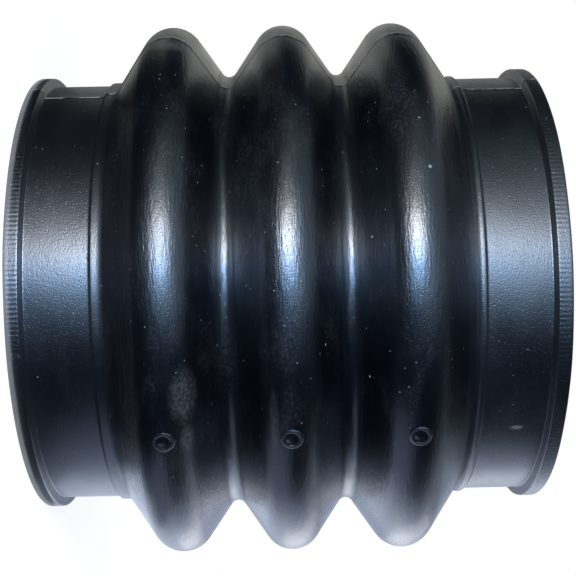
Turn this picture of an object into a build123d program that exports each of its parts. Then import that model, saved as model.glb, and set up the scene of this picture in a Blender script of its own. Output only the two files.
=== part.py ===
from build123d import *
import math
import os

# A bellows boot, moulded in rubber as one piece: two cuffs, each held by a band clamp,
# with three folds between them.
# Millimetres. The boot is round about Z and stands on its lower end face, whose centre is
# the origin. The mould parts in the XZ plane, and the moulding marks face -Y.

# Folds, measured on the outside
fold_count = 3
fold_pitch = 25.0  # from one crest to the next
crest_radius = 62.0
crest_round = 6.7
valley_radius = 50.5
valley_round = 2.0
fold_wall = 3.0

# Cuffs
bore_radius = 45.0  # the pipe that a cuff goes over
cuff_wall = 4.0  # under the clamp band
band_width = 12.0
band_clearance = 0.55  # on each side of the band
rim_height = 2.0  # the end rim, above the band seat
rim_width = 2.9
rim_draft = 0.6  # length of the rim's sloped inner face
bead_height = 0.7  # the inner bead, above the band seat
bead_width = 2.3
bead_draft = 0.5  # length of the bead's sloped face
root_round = 2.0  # where a bead meets the first flank
throat_round = 3.0  # inside, where a bore opens into the first fold
rim_round = 0.4  # the outer edge of the end face
mouth_chamfer = 0.8  # the lead-in of a bore

# Moulding marks: a fine raised ring on each crest
mark_radius = 2.2
mark_ring = 0.55  # width of the ring
mark_height = 0.3

# Worked out from the sizes above
seat_radius = bore_radius + cuff_wall
rim_radius = seat_radius + rim_height
bead_radius = seat_radius + bead_height


def flank_angle():
    """Slope of the straight flank that touches a crest's round and a valley's round."""
    along = fold_pitch / 2
    across = (crest_radius - crest_round) - (valley_radius + valley_round)
    apart = math.hypot(along, across)
    return math.atan2(across, along) + math.asin((crest_round + valley_round) / apart)


def crest_corner(radius, rounding):
    """Radius at which two flanks would meet if the crest weren't rounded."""
    return radius + rounding * (1 / math.cos(slope) - 1)


def valley_corner(radius, rounding):
    """Radius at which two flanks would meet if the valley weren't rounded."""
    return radius - rounding * (1 / math.cos(slope) - 1)


slope = flank_angle()
outer_crest = crest_corner(crest_radius, crest_round)
outer_valley = valley_corner(valley_radius, valley_round)
inner_crest = crest_corner(crest_radius - fold_wall, crest_round - fold_wall)
inner_valley = valley_corner(valley_radius - fold_wall, valley_round + fold_wall)

# Heights up the lower half, one after the other
rim_top = rim_width
seat_bottom = rim_top + rim_draft
seat_top = seat_bottom + band_width + 2 * band_clearance
bead_bottom = seat_top + bead_draft
flank_foot = bead_bottom + bead_width
first_crest = flank_foot + (outer_crest - bead_radius) / math.tan(slope)
throat = first_crest - (inner_crest - bore_radius) / math.tan(slope)
crest_heights = [first_crest + n * fold_pitch for n in range(fold_count)]
length = first_crest + crest_heights[-1]


def both_ends(lower_end, folds):
    """The corners of one end, the folds, and the same end again at the top."""
    upper_end = [(radius, length - z, rounding) for radius, z, rounding in reversed(lower_end)]
    return lower_end + folds + upper_end


def fold_corners(crest, valley, crest_rounding, valley_rounding):
    """Corners from the first crest to the last, with a valley between each two crests."""
    corners = []
    for z in crest_heights:
        corners.append((crest, z, crest_rounding))
        corners.append((valley, z + fold_pitch / 2, valley_rounding))
    return corners[:-1]


def outside():
    """Corners of the outer surface from bottom to top, as (radius, height, rounding)."""
    cuff = [
        (rim_radius, 0, rim_round),
        (rim_radius, rim_top, 0),
        (seat_radius, seat_bottom, 0),
        (seat_radius, seat_top, 0),
        (bead_radius, bead_bottom, 0),
        (bead_radius, flank_foot, root_round),
    ]
    return both_ends(cuff, fold_corners(outer_crest, outer_valley, crest_round, valley_round))


def inside():
    """Corners of the inner surface from bottom to top, as (radius, height, rounding)."""
    cuff = [
        (bore_radius + mouth_chamfer, 0, 0),
        (bore_radius, mouth_chamfer, 0),
        (bore_radius, throat, throat_round),
    ]
    crest_rounding = crest_round - fold_wall
    valley_rounding = valley_round + fold_wall
    return both_ends(cuff, fold_corners(inner_crest, inner_valley, crest_rounding, valley_rounding))


def wall_section():
    """The closed section of the wall, on one side of the axis."""
    corners = outside() + inside()[::-1]
    points = [(radius, z) for radius, z, _ in corners]
    rounds = [rounding for _, _, rounding in corners]
    return make_face(Plane.XZ * FilletPolyline(*points, radius=rounds, close=True))


def moulding_mark(height):
    """A ring that stands evenly proud of the crest at this height, and is rooted in its wall."""
    root = crest_radius - fold_wall / 2
    reach = fold_wall / 2 + 2 * mark_height
    place = Pos(0, -root, height) * Rot(X=90)
    align = (Align.CENTER, Align.CENTER, Align.MIN)
    tube = Cylinder(mark_radius, reach, align=align) - Cylinder(mark_radius - mark_ring, reach, align=align)
    crest = Torus(crest_radius - crest_round, crest_round + mark_height)
    return (place * tube) & (Pos(0, 0, height) * crest)


def bellows_boot():
    boot = revolve(wall_section(), Axis.Z)
    for height in crest_heights:
        boot += moulding_mark(height)
    return boot


os.makedirs("parts", exist_ok=True)
boot = bellows_boot()
export_step(boot, "parts/bellows_boot.step")
print("length", round(length, 2), "flank angle", round(math.degrees(slope), 2))
print("bore wall from", mouth_chamfer, "to", round(throat - throat_round * math.tan(slope / 2), 3))
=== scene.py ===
# %% [markdown]
# # A rubber bellows boot
#
# The boot is a short length of hose moulded in black rubber. A smooth cuff at each end goes over
# a pipe and is held by a band clamp, and three deep folds between the cuffs let it flex. It is
# one piece, so one mesh stands for it here. The script first loads the finished CAD model. That
# model says how large the boot is and where it stands, and nothing here moves it.

import math
import random

import bmesh
import bpy
from mathutils import Matrix, Vector, noise


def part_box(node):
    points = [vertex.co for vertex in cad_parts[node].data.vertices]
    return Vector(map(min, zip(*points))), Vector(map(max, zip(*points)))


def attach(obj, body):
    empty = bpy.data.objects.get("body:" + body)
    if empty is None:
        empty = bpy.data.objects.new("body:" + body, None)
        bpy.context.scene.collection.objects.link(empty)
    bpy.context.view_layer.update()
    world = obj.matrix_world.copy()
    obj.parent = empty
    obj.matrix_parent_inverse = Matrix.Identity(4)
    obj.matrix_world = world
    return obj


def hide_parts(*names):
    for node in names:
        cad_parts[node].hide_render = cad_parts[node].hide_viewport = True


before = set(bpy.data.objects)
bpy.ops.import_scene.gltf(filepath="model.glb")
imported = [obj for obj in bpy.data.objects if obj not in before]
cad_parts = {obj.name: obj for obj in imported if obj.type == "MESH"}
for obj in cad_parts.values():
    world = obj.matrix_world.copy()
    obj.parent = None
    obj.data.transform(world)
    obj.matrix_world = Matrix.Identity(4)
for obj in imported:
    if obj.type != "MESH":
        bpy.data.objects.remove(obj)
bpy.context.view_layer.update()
node_name = "bellows_boot"
box_low, box_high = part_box(node_name)
mm = 0.001
boot_length = box_high.z - box_low.z
print("the boot is", round(boot_length / mm, 2), "mm long")

# %% [markdown]
# ## The camera
#
# The boot stands on end, but it is looked at as if it lay on its side, so the camera is turned a
# quarter turn: the boot's length runs from left to right in the picture. The camera is close, so
# the flanks that face the boot's middle are seen more openly than the others. The camera could be
# aimed with a constraint. Building its matrix from three named directions keeps the quarter turn
# plain to read.

# %% Place the camera
view_turn = math.radians(-28.4)  # the camera's place round the boot
camera_distance = 267.0 * mm
camera_drop = 1.57 * mm
aim_left = math.radians(0.38)
aim_up = math.radians(0.04)
camera_roll = math.radians(1.28)
sensor_width = 36
focal_length = 68.53

along = Vector((0, 0, 1))
toward_camera = Vector((math.sin(view_turn), -math.cos(view_turn), 0))
picture_up = toward_camera.cross(along)
boot_middle = Vector((0, 0, boot_length / 2))

camera_data = bpy.data.cameras.new("camera")
camera_data.sensor_width = sensor_width
camera_data.lens = focal_length
camera = bpy.data.objects.new("camera", camera_data)
bpy.context.scene.collection.objects.link(camera)
bpy.context.scene.camera = camera

axes = Matrix((along, picture_up, toward_camera)).transposed()
turn_left = Matrix.Rotation(aim_left, 3, "Y")
turn_up = Matrix.Rotation(aim_up, 3, "X")
aim = Matrix.Rotation(camera_roll, 3, "Z") @ turn_up @ turn_left
camera_place = boot_middle - camera_drop * along + camera_distance * toward_camera
camera.matrix_world = Matrix.Translation(camera_place) @ (axes @ aim.transposed()).to_4x4()
print("the camera is at", [round(x, 3) for x in camera_place])

# %% [markdown]
# ## The sizes of the wall
#
# A moulded boot is round, so its whole shape is in the section of its wall. The straight flank of
# a fold touches two arcs, one at the crest and one at the valley, and its slope follows from
# their radii and from the pitch. Everything is in millimetres until the last step.

# %% Sizes in millimetres
fold_count = 3
fold_pitch = 25.0
crest_radius = 62.0
crest_round = 6.7
valley_radius = 50.5
valley_round = 2.0
fold_wall = 3.0
bore_radius = 45.0
seat_radius = 49.0
seat_length = 13.1
rim_radius = seat_radius + 2.0
rim_width = 2.9
rim_draft = 0.6
bead_radius = seat_radius + 0.7
bead_width = 2.3
bead_draft = 0.5
root_round = 2.0
throat_round = 3.0
mouth_chamfer = 0.8

apart_along = fold_pitch / 2
apart_across = crest_radius - crest_round - valley_radius - valley_round
reach = math.hypot(apart_along, apart_across)
slope = math.atan2(apart_across, apart_along) + math.asin((crest_round + valley_round) / reach)
corner_height = 1 / math.cos(slope) - 1  # of the corner above its rounding, for a radius of 1

outer_crest = crest_radius + crest_round * corner_height
outer_valley = valley_radius - valley_round * corner_height
inner_crest = crest_radius - fold_wall + (crest_round - fold_wall) * corner_height
inner_valley = valley_radius - fold_wall - (valley_round + fold_wall) * corner_height

seat_foot = rim_width + rim_draft
seat_top = seat_foot + seat_length
bead_foot = seat_top + bead_draft
flank_foot = bead_foot + bead_width
first_crest = flank_foot + (outer_crest - bead_radius) / math.tan(slope)
throat = first_crest - (inner_crest - bore_radius) / math.tan(slope)
crest_heights = [first_crest + n * fold_pitch for n in range(fold_count)]
length = first_crest + crest_heights[-1]
print("a flank slopes", round(math.degrees(slope), 1), "degrees")
print("the section is", round(length, 2), "mm long")

# %% [markdown]
# ## The corners of the section
#
# A draughtsman gives a section as its sharp corners and the radius that rounds each. The cuffs at
# the two ends are the same as far as the bead, so one is listed and the other is its mirror image.
# They differ behind the bead. The lower bead runs into the first flank with a soft root, and the
# upper one has a narrow crown and a sharp gutter behind it, which shows as a dark line. Rubber
# has no truly sharp edge, so each corner gets at least a small rounding of its own.

# %% List the corners
end_round = 0.45  # the outer edge of an end face
rim_round = 0.3  # the edge where a rim falls to its seat
seat_foot_round = 0.1
seat_top_round = 0.2
bead_round = 0.3
mouth_round = 0.2  # the outer edge of a bore's chamfer
bore_round = 0.3  # its inner edge
rim_lip = 0.1  # the scene's rim is wider by this, because its edge is rounded
bead_crown = 0.9  # width of the upper bead's crown
crown_round = 1.0
bead_fall = 0.8  # depth of the gutter behind the upper bead
sharp = 0


def both_ends(lower, folds, upper):
    """All corners in order. The upper cuff is given as if it were a lower one."""
    turned_over = [(radius, length - height, rounding) for radius, height, rounding in reversed(upper)]
    return lower + folds + turned_over


def fold_corners(crest, valley, crest_rounding, valley_rounding):
    """A crest for each fold, with a valley between each two."""
    corners = []
    for height in crest_heights:
        corners.append((crest, height, crest_rounding))
        corners.append((valley, height + fold_pitch / 2, valley_rounding))
    return corners[:-1]


outer_cuff = [
    (rim_radius, 0, end_round),
    (rim_radius, rim_width + rim_lip, rim_round),
    (seat_radius, seat_foot, seat_foot_round),
    (seat_radius, seat_top, seat_top_round),
    (bead_radius, bead_foot, bead_round),
]
plain_root = [(bead_radius, flank_foot, root_round)]
gutter_radius = bead_radius - bead_fall
gutter_height = flank_foot - bead_fall / math.tan(slope)
gutter_root = [
    (bead_radius, bead_foot + bead_crown, crown_round),
    (gutter_radius, gutter_height, sharp),
]
inner_cuff = [
    (bore_radius + mouth_chamfer, 0, mouth_round),
    (bore_radius, mouth_chamfer, bore_round),
    (bore_radius, throat, throat_round),
]
outer_folds = fold_corners(outer_crest, outer_valley, crest_round, valley_round)
inner_folds = fold_corners(
    inner_crest, inner_valley, crest_round - fold_wall, valley_round + fold_wall
)
outside = both_ends(outer_cuff + plain_root, outer_folds, outer_cuff + gutter_root)
inside = both_ends(inner_cuff, inner_folds, inner_cuff)
print(len(outside), "corners outside and", len(inside), "inside")

# %% [markdown]
# ## Drawing the section
#
# The outline could be a curve, but then its points fall where Blender puts them. Here a pen draws
# it in a bmesh: extruding one vertex makes a straight step, and spinning one vertex makes a true
# arc. Each long straight gets a short step at both ends, which keeps its shading flat. Arcs are
# cut so finely that no chord is further from its arc than a given bow.

# %% A pen for straight steps and arcs
longest_step = 2.4
end_step = 0.25
outer_bow = 0.006
inner_bow = 0.014
coarsest_bow = 0.12  # as a share of the radius, so that a tiny rounding still has some steps
same_place = 1e-4


def straight_step(bm, tip, step):
    """Extrudes the vertex at the tip of the line and moves the new one by a step."""
    new_tip = bmesh.ops.extrude_vert_indiv(bm, verts=[tip])["verts"][0]
    bmesh.ops.translate(bm, verts=[new_tip], vec=step)
    return new_tip


def straight_to(bm, tip, end):
    """Draws a straight with a short step at each end and even steps between."""
    run = end - tip.co
    if run.length < same_place:
        return tip
    if run.length < 3 * end_step:
        return straight_step(bm, tip, run)
    short = run.normalized() * end_step
    middle = run - 2 * short
    count = math.ceil(middle.length / longest_step)
    for step in [short] + [middle / count] * count + [short]:
        tip = straight_step(bm, tip, step)
    return tip


def arc(bm, tip, centre, turn, bow):
    """Spins the vertex at the tip of the line round a centre."""
    radius = (tip.co - centre).length
    finest = 2 * math.acos(1 - min(bow / radius, coarsest_bow))
    steps = max(2, math.ceil(abs(turn) / finest))
    made = bmesh.ops.spin(
        bm,
        geom=[tip],
        cent=centre,
        axis=(0, -1, 0),
        angle=turn,
        steps=steps,
        use_duplicate=False,
    )
    return made["geom_last"][0]


def rounded_corner(before, corner, after, rounding):
    """Where a corner's arc starts, its centre and its turn, positive from +X to +Z."""
    coming = (corner - before).normalized()
    going = (after - corner).normalized()
    turn = math.atan2(coming.x * going.z - coming.z * going.x, coming.dot(going))
    start = corner - coming * rounding * math.tan(abs(turn) / 2)
    left = Vector((-coming.z, 0, coming.x))
    return start, start + left * math.copysign(rounding, turn), turn


# %% Draw the closed section
def draw_wall_section(bm):
    """The section of the wall as one closed line of edges in the XZ plane."""
    listed = [(corner, outer_bow) for corner in outside]
    listed += [(corner, inner_bow) for corner in reversed(inside)]
    points = [Vector((radius, 0, height)) for (radius, height, _), _ in listed]
    arcs = []
    for n, ((_, _, rounding), bow) in enumerate(listed):
        following = points[(n + 1) % len(points)]
        start, centre, turn = rounded_corner(points[n - 1], points[n], following, rounding)
        arcs.append((start, centre, turn, bow))
    first_start, first_centre, first_turn, first_bow = arcs[0]
    tip = bm.verts.new(first_start)
    tip = arc(bm, tip, first_centre, first_turn, first_bow)
    for start, centre, turn, bow in arcs[1:]:
        tip = straight_to(bm, tip, start)
        if (centre - start).length > 0:
            tip = arc(bm, tip, centre, turn, bow)
    straight_to(bm, tip, first_start)
    bmesh.ops.remove_doubles(bm, verts=bm.verts, dist=same_place)


boot = bmesh.new()
draw_wall_section(boot)
section_rows = len(boot.verts)
print("the section has", section_rows, "points and", len(boot.edges), "edges")

# %% [markdown]
# ## Spinning the wall
#
# One full spin round the boot's axis makes the skin of the whole wall, inside and out. Merging
# joins the last copy to the first, and because a spin can leave a shape inside out, the normals
# are worked out again. The whole piece is shaded smoothly later, so the one edge that has to look
# sharp, at the bottom of the gutter, is marked here.

# %% Spin the section round the axis
columns = 224
bmesh.ops.spin(
    boot,
    geom=boot.verts[:] + boot.edges[:],
    cent=(0, 0, 0),
    axis=(0, 0, 1),
    angle=2 * math.pi,
    steps=columns,
    use_merge=True,
    use_duplicate=False,
)
bmesh.ops.recalc_face_normals(boot, faces=boot.faces)


# %% Mark the crisp edge of the gutter
near_gutter = 0.01


def at_gutter(vert):
    """True at the bottom of the gutter behind the upper bead."""
    from_end = length - vert.co.z
    away = math.hypot(vert.co.xy.length - gutter_radius, from_end - gutter_height)
    return away < near_gutter


for edge in boot.edges:
    if all(at_gutter(vert) for vert in edge.verts):
        edge.smooth = False
crisp_edges = sum(1 for edge in boot.edges if not edge.smooth)
print(crisp_edges, "edges stay crisp at the bottom of the gutter")
open_edges = sum(1 for edge in boot.edges if len(edge.link_faces) != 2)
print(len(boot.faces), "faces and", open_edges, "open edges")

# %% [markdown]
# ## The ribbed rims
#
# The outer face of each end rim carries fine ribs across it, about a millimetre apart, left by
# the knurled ring of the mould. They are too small to model one by one and too clear at the
# outline to leave to bump. So the rim's edges are divided until four columns fall on each rib,
# and the columns are then moved in and out.

# %% Divide the rims and raise the ribs
rib_share = 4
rim_cuts = 5
rib_depth = 0.045
rib_count = columns * (rim_cuts + 1) // rib_share
rib_draw = random.Random(7)
rib_strength = [rib_draw.uniform(0.55, 1.0) for _ in range(rib_count)]
near_rim = rim_radius - 0.02
rim_edge = rim_width + 0.01
rib_reach = 0.3  # how far below the rim's wall a rib still shows
rib_fade = 0.28
groove_edge = 0.9  # a groove is where a cosine over the rib's width is above this
rise_share = 0.3  # the land between two grooves rises by this share of the depth
faint_half = 0.3  # strength of the ribs on the outer half of the upper rim
rib_shift = 0.02  # keeps a column that lies just on a rib's edge with that rib
equal_size = 1e-3  # heights or radii that differ by less count as equal


def on_rim(vert):
    """True on the outer wall of either end rim."""
    from_end = min(vert.co.z, length - vert.co.z)
    return vert.co.xy.length > near_rim and from_end < rim_width


def runs_round(edge):
    """True for an edge that runs round the boot and not along its section."""
    start, end = edge.verts
    rise = abs(start.co.z - end.co.z)
    widening = abs(start.co.xy.length - end.co.xy.length)
    return rise < equal_size and widening < equal_size


rim_edges = [edge for edge in boot.edges if all(on_rim(v) for v in edge.verts) and runs_round(edge)]
bmesh.ops.subdivide_edges(boot, edges=rim_edges, cuts=rim_cuts, use_grid_fill=True)
for vert in boot.verts:
    from_end = min(vert.co.z, length - vert.co.z)
    radius = vert.co.xy.length
    if radius > near_rim - rib_reach and from_end < rim_edge:
        turn = math.atan2(vert.co.y, vert.co.x) / (2 * math.pi) % 1
        place = turn * rib_count
        rib = rib_strength[int(place + rib_shift) % rib_count]
        fade = min(1, max(0, radius - near_rim + rib_reach) / rib_fade)
        if vert.co.z > length / 2 and from_end <= rim_width / 2:
            fade *= faint_half
        if math.cos(2 * math.pi * place) > groove_edge:
            vert.co.xy *= 1 - rib_depth * rib * fade / radius
        else:
            vert.co.xy *= 1 + rib_depth * rise_share * rib * fade / radius
print(rib_count, "ribs round each rim, and the mesh has", len(boot.faces), "faces")

# %% [markdown]
# ## The parting line
#
# The two halves of the mould meet along the boot's sides and leave a hair-fine raised line from
# rim to rim. The skin is cut twice beside the plane where the halves meet, and the middle column
# of points, which lies in that plane, is raised.

# %% Cut and raise the parting line
line_half_width = 0.22
line_height = 0.11
line_start = 0.6  # the line begins this far from each end face
line_ripple = 0.3  # share of the height that comes and goes
ripple_size = 3.0
beside_line = 2.0  # only faces this near are cut
on_cut = 1e-5  # a point this near a cut is taken to lie in it


def outer_point(vert):
    """True for a point of the outer skin."""
    return vert.normal.x * vert.co.x + vert.normal.y * vert.co.y > 0


boot.normal_update()
for offset in (-line_half_width, line_half_width):
    strip = [
        face for face in boot.faces
        if abs(face.calc_center_median().y) < beside_line and all(outer_point(v) for v in face.verts)
    ]
    skin = set(strip)
    for face in strip:
        skin.update(face.edges)
        skin.update(face.verts)
    bmesh.ops.bisect_plane(
        boot, geom=list(skin), dist=on_cut, plane_co=(0, offset, 0), plane_no=(0, 1, 0)
    )
boot.normal_update()
for vert in boot.verts:
    in_plane = abs(vert.co.y) < same_place
    if in_plane and outer_point(vert) and line_start < vert.co.z < length - line_start:
        ripple = 1 - line_ripple + line_ripple * noise.noise(vert.co / ripple_size)
        vert.co += vert.normal * line_height * ripple
print("the mesh has", len(boot.faces), "faces")

# %% [markdown]
# ## The moulding marks
#
# Each crest carries a small raised ring, the print of an ejector or vent plug in the mould, with a
# low dome inside it. A ring could be a piece of its own, but then it would meet the crest in a
# hard line. So the faces round each mark are divided finely, the points there are put back on the
# true round of the crest, and then they are lifted by a smooth ridge that follows a circle.

# %% Raise a ring on each crest
mark_radius = 2.2
mark_height = 0.3
ring_middle = mark_radius - 0.4
ring_reach = 0.46  # half the width of the rounded ring
ring_ripple = 0.15  # share of the height that comes and goes
dome_radius = 1.25
dome_height = 0.24
dome_shift = 0.3  # the dome sits a little off the ring's middle
fine_radius = mark_radius + 0.9  # faces this near the mark are divided
round_radius = mark_radius + 3.5  # points this near are put back on the crest's round
crest_depth = 3.0
cuts_round = 11
cuts_along = 3
short_edge = 0.3
steepest = 0.75  # the round ends where its normal leans over further than this


def across_mark(point, height):
    """Distance of a point from the axis of the mark at this height."""
    return math.hypot(point.x, point.z - height)


def near_mark(face, height):
    """True for a face that lies round the mark at this height."""
    middle = face.calc_center_median()
    return middle.y < -crest_radius + crest_depth and across_mark(middle, height) < fine_radius


def long_and_along(edge):
    """True for an edge along the section that is long enough to divide."""
    return not runs_round(edge) and edge.calc_length() > short_edge


def divide_patch(height, cuts, chosen):
    """Divides the chosen edges of the faces near a mark."""
    faces = [face for face in boot.faces if near_mark(face, height)]
    edges = {edge for face in faces for edge in face.edges if chosen(edge)}
    bmesh.ops.subdivide_edges(boot, edges=list(edges), cuts=cuts, use_grid_fill=True)


for height in crest_heights:
    divide_patch(height, cuts_round, runs_round)
    divide_patch(height, cuts_along, long_and_along)

# %% Lift the points
crest_centre = crest_radius - crest_round
for vert in boot.verts:
    for height in crest_heights:
        away = across_mark(vert.co, height)
        if vert.co.y < -crest_centre and away < round_radius and outer_point(vert):
            round_point = Vector((vert.co.x, vert.co.y, 0)).normalized() * crest_centre
            round_point.z = height
            outward = (vert.co - round_point).normalized()
            if abs(outward.z) < steepest:
                vert.co = round_point + outward * crest_round
            ridge = max(0, 1 - ((away - ring_middle) / ring_reach) ** 2)
            ridge *= 1 - ring_ripple + ring_ripple * noise.noise(vert.co)
            dome = max(0, 1 - (across_mark(vert.co, height - dome_shift) / dome_radius) ** 2)
            vert.co += outward * (mark_height * ridge + dome_height * dome)
print("the mesh has", len(boot.faces), "faces")

# %% [markdown]
# ## A soft wall is never quite true
#
# Rubber shrinks unevenly as it cools, and it is soft, so the wall wanders by a few hundredths of a
# millimetre. Highlights show this at once, and a wall without it looks turned from metal. Bump in
# the material could bend the highlights too, but the outline would stay true. So smooth noise
# moves every point along its normal, the same way on each run.

# %% Let the wall wander
wander = 0.07
wander_size = 14.0
boot.normal_update()
moves = [vert.normal * wander * noise.noise(vert.co / wander_size) for vert in boot.verts]
for vert, move in zip(boot.verts, moves):
    vert.co += move
print("the wall wanders by up to", round(max(move.length for move in moves), 3), "mm")

# %% [markdown]
# ## From bmesh to a piece
#
# The mesh is scaled from millimetres to metres, shaded smoothly and given to an object at the
# origin. The object could be scaled instead, but a finish that reads Object coordinates would then
# be scaled with it. The piece rides on the CAD model's only body and stands for its only node.

# %% Make the piece
bmesh.ops.scale(boot, vec=(mm, mm, mm), verts=boot.verts)
boot_mesh = bpy.data.meshes.new("rubber_boot")
boot.to_mesh(boot_mesh)
boot.free()
boot_mesh.shade_smooth()
boot_mesh.calc_loop_triangles()
rubber_boot = bpy.data.objects.new("rubber_boot", boot_mesh)
bpy.context.scene.collection.objects.link(rubber_boot)
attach(rubber_boot, "root")
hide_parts(node_name)
print("the piece has", len(boot_mesh.loop_triangles), "triangles")

# %% [markdown]
# ## Helpers for the finishes
#
# Carbon black makes the rubber nearly as dark as a solid can be, so what is seen of it is mostly
# gloss, and how the grain of the mould breaks that gloss up. A finish could come from a painted
# image, but an image has to be wrapped round every fold. Nodes that read Object coordinates need
# no wrapping and stay fine close up. These helpers each add a few nodes, so that a finish below
# reads as a list of its layers.

# %% Nodes and materials
def add_node(tree, kind, inputs=None, **settings):
    """Adds a node, sets its properties, and fills or links its inputs."""
    node = tree.nodes.new(kind)
    for name, value in settings.items():
        setattr(node, name, value)
    for name, value in (inputs or {}).items():
        if isinstance(value, bpy.types.NodeSocket):
            tree.links.new(value, node.inputs[name])
        else:
            node.inputs[name].default_value = value
    return node


def new_material(name):
    """A material with an empty node tree."""
    material = bpy.data.materials.new(name)
    material.use_nodes = True
    material.node_tree.nodes.clear()
    return material


# %% Sums with layers
def combined(tree, operation, first, second=0.0):
    """The result of a Math node."""
    return add_node(tree, "ShaderNodeMath", {0: first, 1: second}, operation=operation).outputs[0]


def product(tree, first, *others):
    """All layers multiplied."""
    for other in others:
        first = combined(tree, "MULTIPLY", first, other)
    return first


def strongest(tree, first, *others):
    """The strongest of the layers at each place."""
    for other in others:
        first = combined(tree, "MAXIMUM", first, other)
    return first


def between(tree, value, low, high, from_value=0.0, to_value=1.0):
    """A smooth change from one value to another while the input goes from low to high."""
    return add_node(
        tree,
        "ShaderNodeMapRange",
        {
            "Value": value,
            "From Min": low,
            "From Max": high,
            "To Min": from_value,
            "To Max": to_value,
        },
        interpolation_type="SMOOTHSTEP",
    ).outputs["Result"]


def length_of(tree, **parts):
    """The length of a vector that is given by some of its parts."""
    vector = add_node(tree, "ShaderNodeCombineXYZ", parts).outputs[0]
    return add_node(
        tree, "ShaderNodeVectorMath", {0: vector}, operation="LENGTH"
    ).outputs["Value"]


# %% Patterns
def noise_at(tree, place, scale, detail, roughness, stretch=(1, 1, 1)):
    """Noise with features of about 1/scale metres, stretched along the axes."""
    mapped = add_node(tree, "ShaderNodeMapping", {"Vector": place, "Scale": stretch}).outputs[0]
    return add_node(
        tree,
        "ShaderNodeTexNoise",
        {"Vector": mapped, "Scale": scale, "Detail": detail, "Roughness": roughness},
    ).outputs["Fac"]


def scattered_dots(tree, place, spacing, radius, share):
    """Round dots at random places, 1 in their middles, in a share of the cells of a spacing in mm."""
    cells = add_node(tree, "ShaderNodeTexVoronoi", {"Vector": place, "Scale": 1 / (spacing * mm)})
    dot = between(tree, cells.outputs["Distance"], radius / spacing, 0.4 * radius / spacing)
    draw = add_node(tree, "ShaderNodeSeparateColor", {"Color": cells.outputs["Color"]}).outputs[0]
    return product(tree, dot, combined(tree, "LESS_THAN", draw, share))


def bump(tree, height, depth, below=None):
    """Turns a height between 0 and 1 into a bump of a depth in millimetres."""
    inputs = {"Height": height, "Strength": 1.0, "Distance": depth * mm}
    if below:
        inputs["Normal"] = below
    return add_node(tree, "ShaderNodeBump", inputs).outputs[0]


# %% [markdown]
# ## The grain of the moulded surface
#
# The mould was polished round its folds by hand, and the rubber is a print of it. So the boot has
# fine scratches that run round it, an even grain, and shallow pits where air was caught. They
# could be cut into the mesh, but at a tenth of a millimetre they would take millions of faces, and
# nobody sees them at the outline. Bump is enough, in three layers, each bending the normal of the
# one below.

# %% Scratches, grain and pits
scratch_scale = 2200.0
scratch_stretch = (0.14, 0.14, 1)  # long round the boot and short along it
grain_scale = 2800.0
pit_spacing = 0.42
pit_radius = 0.17
pit_share = 0.5
pit_depth = -0.5  # as a share of the grain's


def moulded_surface(tree, place, streak, grain):
    """The normal of the surface, with scratches and grain of these depths in mm."""
    scratches = noise_at(tree, place, scratch_scale, 3.0, 0.6, scratch_stretch)
    fine = noise_at(tree, place, grain_scale, 2.0, 0.6)
    pits = scattered_dots(tree, place, pit_spacing, pit_radius, pit_share)
    surface = bump(tree, scratches, streak)
    surface = bump(tree, fine, grain, surface)
    return bump(tree, product(tree, pits, pit_depth), grain, surface)


# %% [markdown]
# ## Worn places, and painted highlights on the rings
#
# A boot that has lain about is scuffed where it stands out, and the scuffs are pale, because torn
# rubber scatters light. Each is a soft patch at a named place: a direction round the boot, a
# distance from the axis, a height, and half its size round and along the boot. A patch could be
# painted as a mask, but a distance from a point needs no image. The rings of the moulding marks
# stand highest of all, and their tops are painted paler, which is a painted highlight.

# %% Places on the boot
patch_edge = 1.25  # where a patch has faded out, as a share of its half size
patch_core = 0.35  # where it is at its full strength


def turned(angle):
    """A level direction, turned from the camera's by degrees, upwards in the picture."""
    angle = math.radians(angle)
    return toward_camera * math.cos(angle) + picture_up * math.sin(angle)


def wear_and_glint_patch(tree, place, angle, radius, height, half_round, half_along):
    """A soft patch, 1 in its middle, at a place on the boot given in degrees and millimetres."""
    middle = (turned(angle) * radius + along * height) * mm
    size = (half_round * mm, half_round * mm, half_along * mm)
    offset = add_node(
        tree, "ShaderNodeVectorMath", {0: place, 1: tuple(middle)}, operation="SUBTRACT"
    ).outputs[0]
    scaled = add_node(
        tree, "ShaderNodeVectorMath", {0: offset, 1: size}, operation="DIVIDE"
    ).outputs[0]
    away = add_node(
        tree, "ShaderNodeVectorMath", {0: scaled}, operation="LENGTH"
    ).outputs["Value"]
    return between(tree, away, patch_edge, patch_core)


# %% Painted highlights on the rings of the moulding marks
ring_highlight_edge = 0.45
ring_highlight_core = 0.15
ring_highlight_strength = 0.4


# The top of each ring is painted paler: a painted highlight.
def painted_ring_highlight(tree, axes, height):
    """The top of a mark's ring, painted paler as a painted highlight."""
    up = combined(tree, "SUBTRACT", axes["Z"], height * mm)
    away = length_of(tree, X=axes["X"], Z=up)
    from_ring = combined(tree, "ABSOLUTE", combined(tree, "SUBTRACT", away, ring_middle * mm))
    near = between(tree, from_ring, ring_highlight_edge * mm, ring_highlight_core * mm, 0.0, ring_highlight_strength)
    return product(tree, near, combined(tree, "LESS_THAN", axes["Y"], 0.0))


# %% Scuffs, and the painted highlights on the rings
scuff_and_highlight_strength = 0.19


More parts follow.
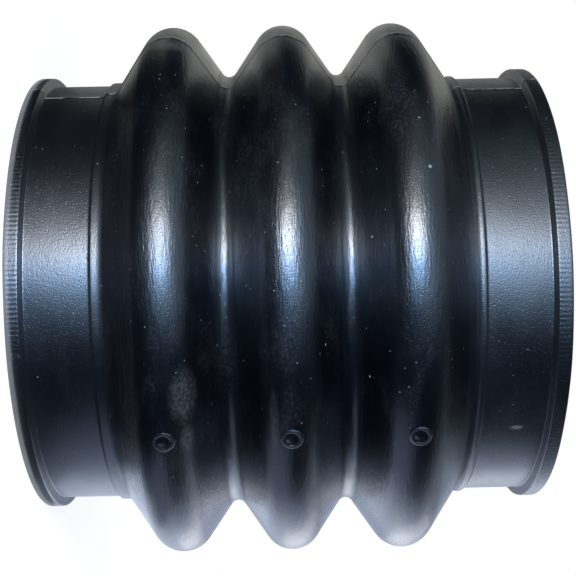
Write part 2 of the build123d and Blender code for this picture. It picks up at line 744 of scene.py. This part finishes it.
def scuffs_and_ring_highlights(tree, place, axes, mottle):
    """The pale scuffs of the first two folds and the painted highlights on the rings, broken up into
    crumbs.
    """
    low_patch = wear_and_glint_patch(tree, place, -20, 60.0, 35.6, 6.0, 2.8)
    lower_tail = wear_and_glint_patch(tree, place, -29, 60.0, 35.9, 3.5, 1.6)
    faint_streak = product(tree, wear_and_glint_patch(tree, place, -26, 61.0, 53.0, 8.0, 1.0), 0.5)
    high_patch = wear_and_glint_patch(tree, place, 57, 61.5, 32.0, 2.5, 3.5)
    ring_highlights = [painted_ring_highlight(tree, axes, height) for height in crest_heights]
    scuffs_and_highlights = strongest(tree, low_patch, lower_tail, faint_streak, high_patch, *ring_highlights)
    crumbs = between(tree, mottle, 0.4, 0.64, 0.3, 1.0)
    return product(tree, scuffs_and_highlights, crumbs, scuff_and_highlight_strength)


# %% [markdown]
# ## Bloom, dust and painted light
#
# Wax and oil creep out of rubber in store and dry to a thin grey bloom, thickest in patches. Dust
# settles on it as specks of several sizes. The half behind the parting line is painted paler, which
# stands in for the light that falls more on that half. Specks could be small pieces, but thousands
# of loose grains would only weigh the model down. Here every one of them is a layer between 0,
# clean, and 1, covered.

# %% Bloom, painted light on the far half, and specks
def bloom(tree, patches, mottle, share):
    """The grey bloom, in patches."""
    where = between(tree, patches, 0.45, 0.7)
    return product(tree, where, between(tree, mottle, 0.4, 0.7), share)


# The half behind the parting line is painted paler: painted light on that half.
def painted_far_half_light(tree, place, axes, mottle, dust_and_painted_light, fade):
    """Painted light on the half behind the parting line, mottled like a film, which fades in over some
    millimetres.
    """
    far_half = between(tree, axes["Y"], -fade * mm, fade * mm, 0.0, dust_and_painted_light)
    clouds = noise_at(tree, place, 260.0, 3.0, 0.65)
    fine = between(tree, mottle, 0.2, 0.7, 0.6, 1.2)
    return product(tree, far_half, fine, between(tree, clouds, 0.35, 0.65, 0.35, 1.2))


def specks_of_dust(tree, place):
    """Specks of three sizes, the smallest the faintest."""
    large = scattered_dots(tree, place, 9.0, 0.3, 0.35)
    small = product(tree, scattered_dots(tree, place, 1.8, 0.2, 0.35), 0.5)
    finest = product(tree, scattered_dots(tree, place, 1.1, 0.16, 0.5), 0.11)
    return strongest(tree, small, large, finest)


# %% Painted glints on the parting line and the upper cuff, and a grain of grit
glint_line_edge = 0.4
glint_line_core = 0.2


# The pale dashes along the parting line are painted glints.
def painted_line_glints(tree, place, axes, strength):
    """Pale dashes along the parting line: painted glints of light on its raised edge."""
    from_line = combined(tree, "ABSOLUTE", axes["Y"])
    near = between(tree, from_line, glint_line_edge * mm, glint_line_core * mm)
    dashes = noise_at(tree, place, 500.0, 2.0, 0.6)
    return product(tree, near, between(tree, dashes, 0.42, 0.55), strength)


def glint_and_grit(tree, place):
    """A painted glint on the upper cuff and a grain of grit on the third crest."""
    # The pale spot on the upper cuff is a painted glint.
    painted_glint = product(tree, wear_and_glint_patch(tree, place, -38.2, 49.1, 103.4, 0.7, 1.5), 0.35)
    grit = product(tree, wear_and_glint_patch(tree, place, 21.5, 61.6, 84.0, 0.4, 0.4), 0.9)
    return strongest(tree, painted_glint, grit)


# %% [markdown]
# ## Black rubber
#
# All layers meet in one principled shader. Dust, and the painted glints and paler patches that
# stand in for light, turn the black towards the same grey and make it duller. The flanks of the folds
# are the glossiest, because a mould is easiest to polish there.
# The two cuffs are more satin than the folds, and the lower one is a little glossier than the
# upper one, so the same function makes three finishes. Scratches that run round the boot spread a
# highlight along it, which is what the anisotropy does. A strong specular level and a high index
# stand for the waxy skin of the rubber.

# %% How dull the rubber is
valley_end = 51.4
flank_low = 52.4
flank_high = 57.4
crest_start = 60.0
flank_gloss = -0.09  # what the flanks add to the roughness


def dullness(tree, axes, dust_and_painted_light, patches, roughness):
    """The roughness: more under dust and painted light, a little more or less in patches, and less on
    the flanks.
    """
    under_dust_and_paint = between(tree, dust_and_painted_light, 0.0, 0.5, 0.0, 0.3)
    in_patches = between(tree, patches, 0.3, 0.8, -0.03, 0.05)
    from_axis = length_of(tree, X=axes["X"], Y=axes["Y"])
    above_valley = between(tree, from_axis, valley_end * mm, flank_low * mm)
    below_crest = between(tree, from_axis, crest_start * mm, flank_high * mm)
    on_flank = product(tree, above_valley, below_crest, flank_gloss)
    dull = combined(tree, "ADD", combined(tree, "ADD", under_dust_and_paint, in_patches), on_flank)
    return combined(tree, "ADD", dull, roughness)


# %% One rubber finish
black = (0.001, 0.0016, 0.0034, 1)
dust_and_highlight_grey = (0.4, 0.4, 0.38, 1)
gloss_tint = (0.88, 0.94, 1.0, 1)
quarter_turn = 0.25  # turns the gloss so that it spreads along the boot


def rubber_finish(
    name, roughness, anisotropy, index, streak, grain, line_glint_share, bloom_share, far_half_light_share, far_fade
):
    """Black rubber with its gloss and fine grain, the dust and bloom on it, and painted glints and
    highlights.
    """
    material = new_material(name)
    tree = material.node_tree
    place = add_node(tree, "ShaderNodeTexCoord").outputs["Object"]
    axes = add_node(tree, "ShaderNodeSeparateXYZ", {"Vector": place}).outputs
    patches = noise_at(tree, place, 110.0, 3.0, 0.6, (0.6, 0.6, 1.4))
    mottle = noise_at(tree, place, 1500.0, 3.0, 0.7)

    pale = strongest(tree, bloom(tree, patches, mottle, bloom_share), scuffs_and_ring_highlights(tree, place, axes, mottle))
    far_half_painted_light = painted_far_half_light(tree, place, axes, mottle, far_half_light_share, far_fade)
    # This mask holds dust, bloom and scuffs, and also painted light: glints, ring highlights and the
    # paler far half.
    dust_and_painted_light = strongest(
        tree,
        combined(tree, "ADD", pale, far_half_painted_light),
        specks_of_dust(tree, place),
        painted_line_glints(tree, place, axes, line_glint_share),
        glint_and_grit(tree, place),
    )
    colour = add_node(tree, "ShaderNodeMix", {0: dust_and_painted_light, 6: black, 7: dust_and_highlight_grey}, data_type="RGBA")
    shader = add_node(
        tree,
        "ShaderNodeBsdfPrincipled",
        {
            "Base Color": colour.outputs[2],
            "Roughness": dullness(tree, axes, dust_and_painted_light, patches, roughness),
            "IOR": index,
            "Specular IOR Level": 1.0,
            "Specular Tint": gloss_tint,
            "Anisotropic": anisotropy,
            "Anisotropic Rotation": quarter_turn,
            "Normal": moulded_surface(tree, place, streak, grain),
        },
    )
    add_node(tree, "ShaderNodeOutputMaterial", {"Surface": shader.outputs[0]})
    return material


# %% Three finishes
fold_rubber = rubber_finish(
    "fold_rubber",
    roughness=0.335,
    anisotropy=0.32,
    index=1.7,
    streak=0.1,
    grain=0.026,
    line_glint_share=0.4,
    bloom_share=0.05,
    far_half_light_share=0.13,
    far_fade=4.0,
)
lower_cuff_rubber = rubber_finish(
    "lower_cuff_rubber",
    roughness=0.40,
    anisotropy=0.45,
    index=1.98,
    streak=0.02,
    grain=0.036,
    line_glint_share=1.0,
    bloom_share=0.01,
    far_half_light_share=0.16,
    far_fade=0.05,
)
upper_cuff_rubber = rubber_finish(
    "upper_cuff_rubber",
    roughness=0.41,
    anisotropy=0.35,
    index=1.82,
    streak=0.02,
    grain=0.036,
    line_glint_share=0.6,
    bloom_share=0.01,
    far_half_light_share=0.12,
    far_fade=0.05,
)
print("a finish has", len(fold_rubber.node_tree.nodes), "nodes")

# %% Give each face its finish
finishes = [fold_rubber, lower_cuff_rubber, upper_cuff_rubber]
for finish in finishes:
    boot_mesh.materials.append(finish)
for face in boot_mesh.polygons:
    if face.center.z < flank_foot * mm:
        face.material_index = finishes.index(lower_cuff_rubber)
    elif face.center.z > (length - flank_foot) * mm:
        face.material_index = finishes.index(upper_cuff_rubber)
for number, finish in enumerate(finishes):
    count = sum(1 for face in boot_mesh.polygons if face.material_index == number)
    print(finish.name, "is on", count, "faces")

# %% [markdown]
# ## The floor and the white room
#
# The boot stands in a white room on a pale floor. A room could be built from walls, but a world
# that is white wherever it is looked at does the same with nothing to build. Only a ray from the
# camera, or one that gloss or glass sends on, meets that white. All other rays meet a weak even
# glow, so the white background doesn't turn the black rubber grey. The floor does the same, and
# below its glow it is matt, so the boot's shadow stays on it. Close round the boot the floor's
# glow is a little weaker, which is a painted shadow round its foot.

# %% Seen directly
def seen_directly(tree):
    """1 for a ray from the camera, or one that gloss or glass sends on, and 0 for other light."""
    path = add_node(tree, "ShaderNodeLightPath").outputs
    return strongest(
        tree, path["Is Camera Ray"], path["Is Glossy Ray"], path["Is Transmission Ray"]
    )


# %% The world
room_light = 0.15
room_colour = (0.9, 0.95, 1, 1)
white = (1, 1, 1, 1)
world = bpy.data.worlds.new("room")
bpy.context.scene.world = world
world.use_nodes = True
tree = world.node_tree
tree.nodes.clear()
even_light = add_node(tree, "ShaderNodeBackground", {"Color": room_colour, "Strength": room_light})
white_room = add_node(tree, "ShaderNodeBackground", {"Color": white, "Strength": 1.0})
either = add_node(
    tree,
    "ShaderNodeMixShader",
    {0: seen_directly(tree), 1: even_light.outputs[0], 2: white_room.outputs[0]},
)
add_node(tree, "ShaderNodeOutputWorld", {"Surface": either.outputs[0]})
print("the room's even light is", room_light)

# %% The floor
floor_radius = 0.6
floor_mesh = bpy.data.meshes.new("floor")
bm = bmesh.new()
bmesh.ops.create_circle(bm, cap_ends=True, segments=96, radius=floor_radius)
bm.to_mesh(floor_mesh)
bm.free()
floor = bpy.data.objects.new("floor", floor_mesh)
bpy.context.scene.collection.objects.link(floor)
print("the floor is", 2 * floor_radius, "m across")

# %% The floor's paint
floor_colour = (0.8, 0.8, 0.8, 1)
# The floor glows a little less close round the boot: a painted shadow round its foot.
near_boot = 0.05
painted_shadow_glow = 0.8  # a little less beside the boot, so that its foot has something to stand on
clear_of_boot = 0.3
floor_paint = new_material("pale_floor")
tree = floor_paint.node_tree
spot = add_node(tree, "ShaderNodeTexCoord").outputs["Object"]
away = add_node(tree, "ShaderNodeVectorMath", {0: spot}, operation="LENGTH").outputs["Value"]
lift = add_node(
    tree,
    "ShaderNodeMapRange",
    {
        "Value": away,
        "From Min": near_boot,
        "From Max": clear_of_boot,
        "To Min": painted_shadow_glow,
        "To Max": 1.0,
    },
)
lift_seen = product(tree, lift.outputs[0], seen_directly(tree))
matt = add_node(tree, "ShaderNodeBsdfDiffuse", {"Color": floor_colour})
glow = add_node(tree, "ShaderNodeEmission", {"Strength": lift_seen})
both = add_node(tree, "ShaderNodeAddShader", {0: matt.outputs[0], 1: glow.outputs[0]})
add_node(tree, "ShaderNodeOutputMaterial", {"Surface": both.outputs[0]})
floor_mesh.materials.append(floor_paint)

# %% [markdown]
# ## Cards round the boot
#
# A glossy black thing shows hardly more than what stands round it, so a studio puts cards there:
# pale ones where an edge should shine and black ones where it should stay deep. Area lamps could do
# that, but each would also light the floor and the dust. These cards are met by gloss alone. Each
# is the strip between two circles round the boot's axis, from one direction to another, and is
# made by spinning the line between its near and far edges. Directions are in degrees from the
# camera's, and upwards in the picture counts as more.

# %% Cards that only gloss meets
card_step = 6  # degrees that one face of a card spans
made_cards = []


def only_for_gloss(piece):
    """Hides a card from the camera, from shadows and from even light."""
    piece.visible_camera = False
    piece.visible_diffuse = False
    piece.visible_shadow = False
    piece.visible_transmission = False


def card_strip(start, end, near, far):
    """The bmesh of a strip round the boot. Its edges are given as (radius, height)."""
    bm = bmesh.new()
    corner = bm.verts.new(turned(start) * near[0] + along * near[1])
    other = bmesh.ops.extrude_vert_indiv(bm, verts=[corner])["verts"][0]
    width = turned(start) * (far[0] - near[0]) + along * (far[1] - near[1])
    bmesh.ops.translate(bm, verts=[other], vec=width)
    bmesh.ops.spin(
        bm,
        geom=bm.verts[:] + bm.edges[:],
        cent=(0, 0, 0),
        axis=along,
        angle=-math.radians(end - start),
        steps=max(2, round((end - start) / card_step)),
        use_duplicate=False,
    )
    return bm


def glow_card(name, start, end, near, far, light):
    """A glowing card between two directions and two edges, with its red, green and blue strength."""
    mesh = bpy.data.meshes.new(name)
    bm = card_strip(start, end, near, far)
    bm.to_mesh(mesh)
    bm.free()
    material = new_material(name)
    tree = material.node_tree
    glow = add_node(tree, "ShaderNodeEmission", {"Color": (*light, 1), "Strength": 1.0})
    add_node(tree, "ShaderNodeOutputMaterial", {"Surface": glow.outputs[0]})
    material.cycles.emission_sampling = "NONE"
    mesh.materials.append(material)
    card = bpy.data.objects.new(name, mesh)
    bpy.context.scene.collection.objects.link(card)
    only_for_gloss(card)
    made_cards.append(card)


# %% The edges of the cards
far_away = 0.45
foot = (far_away, 0.002)
waist = (far_away, 0.15)
chest = (far_away, 0.28)
top = (far_away, 0.6)
peak = (0.0, 0.6)
beside_boot = (0.0515, 0.001)
off_boot = (0.08, 0.001)
deep_black = (0.004, 0.006, 0.009)

# %% [markdown]
# ### Upright cards
#
# The brightest cards stand below and a little behind the boot as it is seen, and give the crests
# their pale undersides. In front the cards are nearly black as high as the boot, which keeps the
# valleys deep, and pale above it. The cards above the boot light the half behind the parting line.

# %% Behind and below
glow_card("card_behind_low", -200, -160, foot, waist, (0.2, 0.2, 0.22))
glow_card("card_behind", -200, -160, waist, top, (0.05, 0.06, 0.08))
glow_card("card_below_edge", -160, -142, foot, waist, (0.6, 0.7, 0.95))
glow_card("card_below", -142, -119, foot, waist, (2.7, 2.8, 3.1))
glow_card("card_below_side", -119, -98, foot, waist, (0.8, 0.95, 1.3))
glow_card("card_below_high", -160, -142, waist, chest, (0.6, 0.68, 0.9))
glow_card("card_below_main", -142, -119, waist, chest, (1.95, 2.05, 2.4))
glow_card("card_below_front", -119, -98, waist, chest, (0.4, 0.5, 0.7))
glow_card("card_below_top", -160, -98, chest, top, (0.48, 0.55, 0.68))
print(len(made_cards), "cards behind and below")

# %% In front
glow_card("card_front_low", -98, 33, foot, waist, deep_black)
glow_card("card_upper_low", 33, 50, foot, waist, (0.9, 0.95, 1.0))
glow_card("card_upper_dark", 50, 75, foot, waist, (0.03, 0.035, 0.04))
glow_card("card_front_high", -98, -10, waist, top, deep_black)
glow_card("card_front_waist", -10, 35, waist, chest, (0.45, 0.58, 0.56))
glow_card("card_front", -10, 35, chest, top, (0.56, 0.8, 1.2))
glow_card("card_front_lid", -10, 35, peak, top, (0.3, 0.38, 0.43))

# %% Above
glow_card("card_upper", 35, 75, waist, top, (0.16, 0.22, 0.22))
glow_card("card_far_upper", 75, 130, foot, top, (0.01, 0.012, 0.015))
glow_card("card_above_low", 130, 160, foot, waist, (0.65, 0.65, 0.6))
glow_card("card_above", 130, 160, waist, top, (0.48, 0.48, 0.45))
print(len(made_cards), "upright cards in all")

# %% [markdown]
# ### Cards on the floor and overhead
#
# The lower cuff mirrors the floor just beside it, so that part of the floor has cards of its own,
# a hair above it. The lid closes the ring of cards overhead.

# %% On the floor
glow_card("card_floor_behind", -200, -160, beside_boot, foot, (0.02, 0.02, 0.02))
glow_card("card_near_below", -160, -98, beside_boot, off_boot, (1.12, 1.28, 1.6))
glow_card("card_near_side", -98, -76, beside_boot, off_boot, (1.05, 1.2, 1.5))
glow_card("card_near_front", -76, -55, beside_boot, off_boot, (0.12, 0.15, 0.22))
glow_card("card_floor_edge", -160, -142, off_boot, foot, (0.6, 0.68, 0.85))
glow_card("card_floor_below", -142, -98, off_boot, foot, (1.3, 1.45, 1.8))
glow_card("card_floor_side", -98, -55, off_boot, foot, (0.3, 0.34, 0.5))
glow_card("card_floor", -55, 75, beside_boot, foot, deep_black)
glow_card("card_floor_upper", 75, 105, beside_boot, foot, (0.02, 0.02, 0.02))
glow_card("card_floor_above", 105, 160, beside_boot, foot, (0.42, 0.42, 0.4))

# %% Overhead
glow_card("card_lid_side", -98, -10, peak, top, (0.02, 0.03, 0.04))
glow_card("card_lid_above", 35, 160, peak, top, (0.22, 0.24, 0.28))
glow_card("card_lid_behind", 160, 262, peak, top, (0.08, 0.09, 0.11))
print(len(made_cards), "cards in all")

# %% [markdown]
# ## The lamps
#
# Two soft tubes stand along the boot, a warm white one and below it a blue one, as a window and
# the sky under it would. Side by side on the crests they make a highlight that is white above and
# turns blue below. One wide tube of a single colour would give the shape but not that change. A
# large weak lamp below fills the shadow side. A tube's strength is given as the light that reaches
# a crest, so the crest stays as bright when the tube's size is changed.

# %% Lamps
def lamp(name, location, width, height, radiance, colour):
    """A rectangular lamp of a given radiance, aimed at the middle of the boot."""
    data = bpy.data.lights.new(name, "AREA")
    data.shape = "RECTANGLE"
    data.size = width
    data.size_y = height
    data.energy = radiance * width * height * math.pi
    data.color = colour
    piece = bpy.data.objects.new(name, data)
    piece.location = location
    piece.rotation_mode = "QUATERNION"
    piece.rotation_quaternion = (location - boot_middle).to_track_quat("Z", "Y")
    piece.visible_camera = False
    bpy.context.scene.collection.objects.link(piece)
    print(name, "gives", round(data.energy, 2), "W")


tube_length = 0.14
tube_height = 0.05
tube_distance = 0.267
tube_to_crest = tube_distance - crest_radius * mm


def tube_lamp(name, angle, light, colour):
    """A tube along the boot, with its light given as what falls on a crest that faces it.

    A light of pi shows a matt colour as it is written.
    """
    radiance = light * tube_to_crest ** 2 / (tube_length * tube_height)
    place = turned(angle) * tube_distance + boot_middle
    lamp(name, place, tube_height, tube_length, radiance, colour)


tube_lamp("key", 17.8, 3.1, (1.0, 0.9, 0.81))
tube_lamp("blue_fill", 10.5, 3.0, (0.16, 0.46, 0.9))
side_place = turned(-125) * 0.8 + boot_middle + along * 0.1
side_size = 0.7
lamp("side", side_place, side_size, side_size, 1.0, (0.9, 0.95, 1.0))

# %% [markdown]
# ## The view transform
#
# The plain view transform shows a colour as it is written.

# %% Finish
bpy.context.scene.view_settings.view_transform = "Standard"
